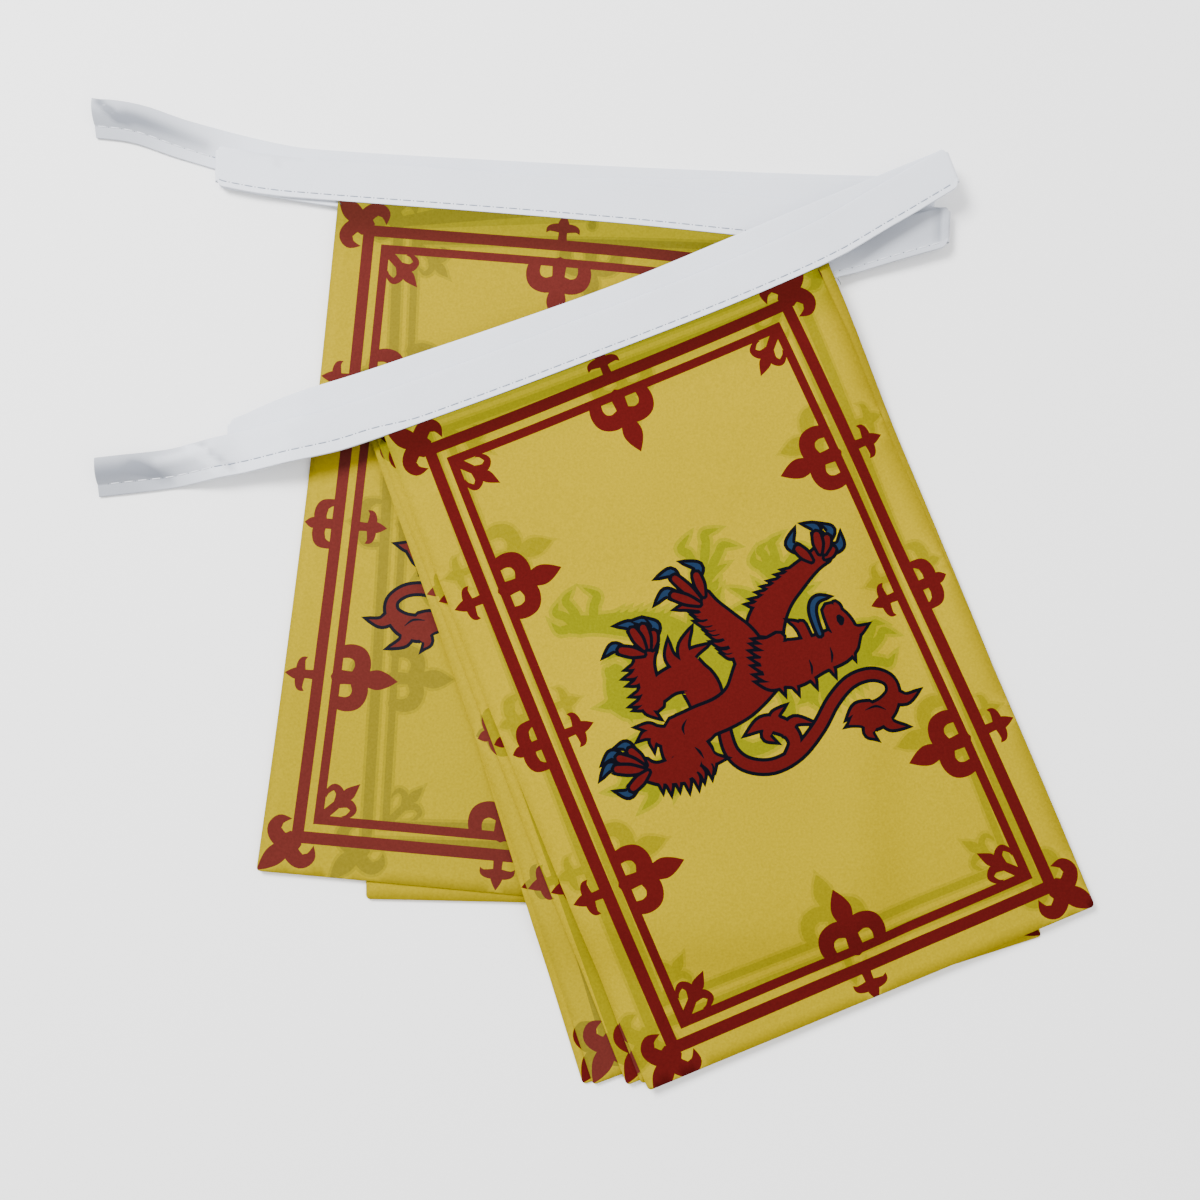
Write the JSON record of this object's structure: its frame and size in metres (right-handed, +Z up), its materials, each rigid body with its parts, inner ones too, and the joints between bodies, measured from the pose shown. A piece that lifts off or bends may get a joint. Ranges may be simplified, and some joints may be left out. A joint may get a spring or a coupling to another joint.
{
  "type": "folded string of flag bunting",
  "caption": "String of cloth flags on a white doubled tape, folded zigzag into fanned stacks that lie flat, with loose tape tails.",
  "frame": {"origin": "centre of the bounding box in plan, at the surface that the folded string lies on", "axes": "+Z up, square to the flat layers; +Y towards the tape from the flags; +X towards the side without tails"},
  "size_m": [0.3232, 0.3196, 0.0101],
  "materials": {
    "flag_front": "matte printed polyester",
    "flag_back": "matte printed polyester, reverse face",
    "tape_cloth": "satin woven tape"
  },
  "bodies": {
    "root": {"tape": "tape_cloth", "flag_1": "flag_front", "flag_2": "flag_back", "flag_3": "flag_front", "flag_4": "flag_back", "flag_5": "flag_front", "flag_6": "flag_back", "flag_7": "flag_front", "flag_8": "flag_back"}
  },
  "joints": []
}
